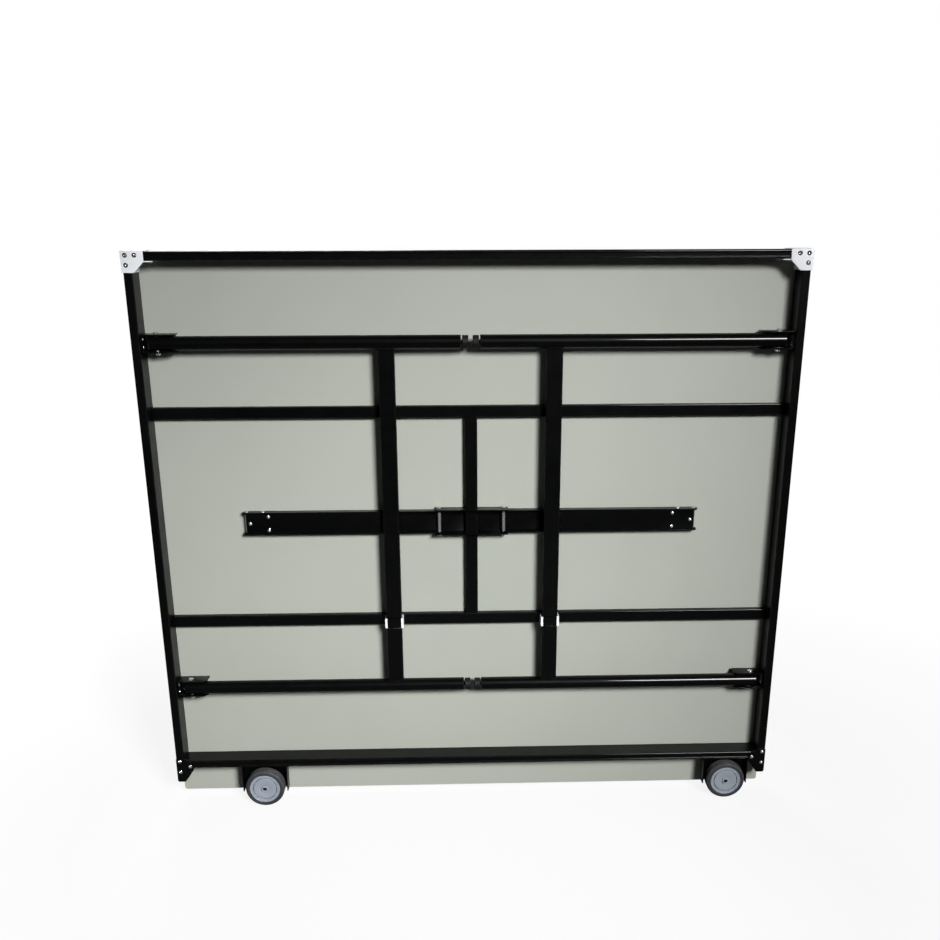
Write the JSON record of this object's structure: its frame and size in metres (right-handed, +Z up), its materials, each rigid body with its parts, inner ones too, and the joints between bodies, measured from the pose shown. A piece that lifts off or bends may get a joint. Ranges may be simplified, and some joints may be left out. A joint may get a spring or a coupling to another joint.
{
  "type": "ping pong table",
  "caption": "One half of a folding ping pong table, standing on its net side on two wheels, with folding leg frames, folding braces and levelling feet.",
  "frame": {"origin": "centre of the bounding box in X and Y, at the bottom of the wheels", "axes": "+X across the table's width, to the right seen from the underside; +Y out of the playing surface; +Z up, from the net side to the player's end, as the half stands in storage"},
  "size_m": [1.5296, 0.079, 1.3903],
  "materials": {
    "board_paint": "painted fibreboard, light grey-green underside, satin",
    "black_steel": "black powder coat, semi-gloss",
    "zinc": "bright zinc plate",
    "white_plastic": "white moulded plastic",
    "black_plastic": "black moulded plastic",
    "grey_plastic": "light grey moulded plastic",
    "tyre_rubber": "dark grey rubber"
  },
  "bodies": {
    "frame": {"playing_board": "board_paint", "end_rail": "black_steel", "net_rail": "black_steel", "left_side_rail": "black_steel", "right_side_rail": "black_steel", "lower_cross_rail": "black_steel", "upper_cross_rail": "black_steel", "centre_spine": "black_steel", "brace_bracket": "black_steel", "left_brace_pivot_bolt": "zinc", "left_corner_guard": "white_plastic", "left_net_corner_plate": "black_steel", "left_leg_clip": "white_plastic", "left_wheel_bracket": "black_steel", "left_wheel_axle_bolt": "zinc", "left_upper_hinge_bracket": "black_steel", "left_upper_hinge_bolt": "zinc", "left_lower_hinge_bracket": "black_steel", "left_lower_hinge_bolt": "zinc", "right_brace_pivot_bolt": "zinc", "right_corner_guard": "white_plastic", "right_net_corner_plate": "black_steel", "right_leg_clip": "white_plastic", "right_wheel_bracket": "black_steel", "right_wheel_axle_bolt": "zinc", "right_upper_hinge_bracket": "black_steel", "right_upper_hinge_bolt": "zinc", "right_lower_hinge_bracket": "black_steel", "right_lower_hinge_bolt": "zinc"},
    "left_leg": {"left_upper_leg_tube": "black_steel", "left_upper_foot_plug": "black_plastic", "left_lower_leg_tube": "black_steel", "left_lower_foot_plug": "black_plastic", "left_leg_cross_bar": "black_steel", "left_brace_lug": "black_steel", "left_brace_lug_pin": "zinc"},
    "left_upper_brace": {"left_upper_brace_link": "black_steel"},
    "left_lower_brace": {"left_lower_brace_link": "black_steel", "left_knee_block": "black_plastic", "left_knee_pin": "zinc"},
    "left_wheel": {"left_wheel_tyre": "tyre_rubber", "left_wheel_hub": "grey_plastic"},
    "left_upper_levelling_foot": {"left_upper_foot": "black_plastic"},
    "left_lower_levelling_foot": {"left_lower_foot": "black_plastic"},
    "right_leg": {"right_upper_leg_tube": "black_steel", "right_upper_foot_plug": "black_plastic", "right_lower_leg_tube": "black_steel", "right_lower_foot_plug": "black_plastic", "right_leg_cross_bar": "black_steel", "right_brace_lug": "black_steel", "right_brace_lug_pin": "zinc"},
    "right_upper_brace": {"right_upper_brace_link": "black_steel"},
    "right_lower_brace": {"right_lower_brace_link": "black_steel", "right_knee_block": "black_plastic", "right_knee_pin": "zinc"},
    "right_wheel": {"right_wheel_tyre": "tyre_rubber", "right_wheel_hub": "grey_plastic"},
    "right_upper_levelling_foot": {"right_upper_foot": "black_plastic"},
    "right_lower_levelling_foot": {"right_lower_foot": "black_plastic"}
  },
  "joints": [
    {"name": "left_leg_fold", "type": "hinge", "parent": "frame", "child": "left_leg", "pos_m": [-0.709, -0.0115, 0.756], "axis": [0, 0, -1], "range_deg": [0, 90]},
    {"name": "left_upper_brace_swing", "type": "hinge", "parent": "frame", "child": "left_upper_brace", "pos_m": [-0.078, 0.0085, 0.756], "axis": [0, 0, 1], "range_deg": [0, 41.26]},
    {"name": "left_lower_brace_swing", "type": "hinge", "parent": "left_leg", "child": "left_lower_brace", "pos_m": [-0.193, 0.0085, 0.756], "axis": [0, 0, -1], "range_deg": [0, 48.75]},
    {"name": "left_upper_foot_adjust", "type": "slide", "parent": "left_leg", "child": "left_upper_levelling_foot", "axis": [1, 0, 0], "range_m": [-0.0025, 0.0045]},
    {"name": "left_lower_foot_adjust", "type": "slide", "parent": "left_leg", "child": "left_lower_levelling_foot", "axis": [1, 0, 0], "range_m": [-0.0025, 0.0045]},
    {"name": "left_wheel_spin", "type": "hinge", "parent": "frame", "child": "left_wheel", "pos_m": [-0.54, -0.0235, 0.05], "axis": [0, 1, 0], "continuous": true},
    {"name": "right_leg_fold", "type": "hinge", "parent": "frame", "child": "right_leg", "pos_m": [0.709, -0.0115, 0.756], "axis": [0, 0, 1], "range_deg": [0, 90]},
    {"name": "right_upper_brace_swing", "type": "hinge", "parent": "frame", "child": "right_upper_brace", "pos_m": [0.078, 0.0085, 0.756], "axis": [0, 0, -1], "range_deg": [0, 41.26]},
    {"name": "right_lower_brace_swing", "type": "hinge", "parent": "right_leg", "child": "right_lower_brace", "pos_m": [0.193, 0.0085, 0.756], "axis": [0, 0, 1], "range_deg": [0, 48.75]},
    {"name": "right_upper_foot_adjust", "type": "slide", "parent": "right_leg", "child": "right_upper_levelling_foot", "axis": [-1, 0, 0], "range_m": [-0.0025, 0.0045]},
    {"name": "right_lower_foot_adjust", "type": "slide", "parent": "right_leg", "child": "right_lower_levelling_foot", "axis": [-1, 0, 0], "range_m": [-0.0025, 0.0045]},
    {"name": "right_wheel_spin", "type": "hinge", "parent": "frame", "child": "right_wheel", "pos_m": [0.662, -0.0235, 0.05], "axis": [0, 1, 0], "continuous": true}
  ],
  "couplings": [
    {"joint": "left_upper_brace_swing", "follows": "left_leg_fold", "ratio": 0.45843},
    {"joint": "left_lower_brace_swing", "follows": "left_leg_fold", "ratio": 0.54157},
    {"joint": "right_upper_brace_swing", "follows": "right_leg_fold", "ratio": 0.45843},
    {"joint": "right_lower_brace_swing", "follows": "right_leg_fold", "ratio": 0.54157}
  ]
}
